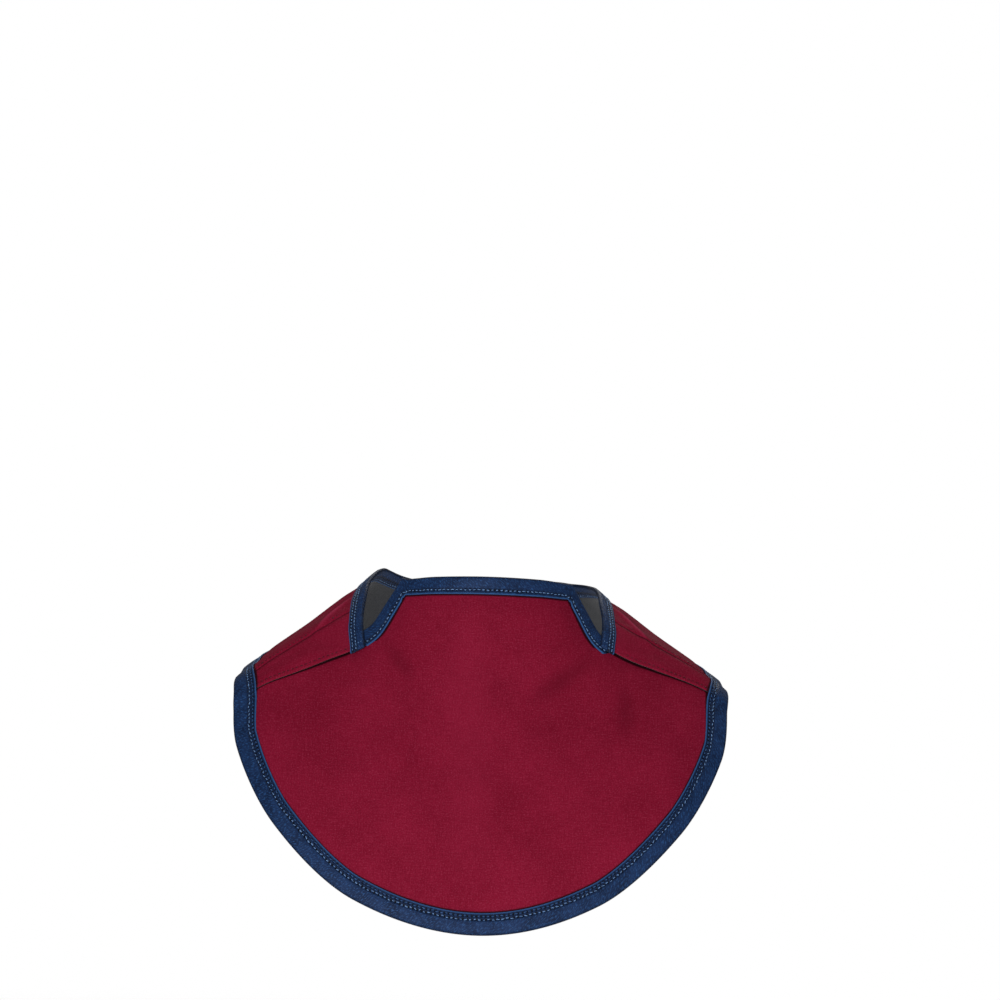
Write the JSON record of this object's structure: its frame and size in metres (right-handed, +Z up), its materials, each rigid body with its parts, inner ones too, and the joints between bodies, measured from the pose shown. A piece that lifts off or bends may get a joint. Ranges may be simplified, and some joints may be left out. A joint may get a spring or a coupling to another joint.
{
  "type": "thyroid shield collar",
  "caption": "Padded radiation shield collar: a round bib with a throat tab covers the thyroid, and shoulder wings close behind the neck.",
  "frame": {"origin": "centre of the neck opening, level with the top of the throat tab", "axes": "+X towards the wearer's left (the picture's right), +Y towards the wearer's back, +Z up; the bib faces -Y"},
  "size_m": [0.2758, 0.2283, 0.1913],
  "materials": {
    "shell_cloth": "coated woven nylon, burgundy, fine weave, faint sheen",
    "binding_tape": "woven bias tape, navy, soft satin sheen, double stitched",
    "hook_and_loop": "hook-and-loop tape, dark navy, matt"
  },
  "bodies": {
    "root": {"front_bib": "shell_cloth", "left_wing": "shell_cloth", "right_wing": "shell_cloth", "outer_binding": "binding_tape", "throat_binding": "binding_tape", "left_neck_binding": "binding_tape", "right_neck_binding": "binding_tape", "closure_patch": "hook_and_loop"}
  },
  "joints": []
}
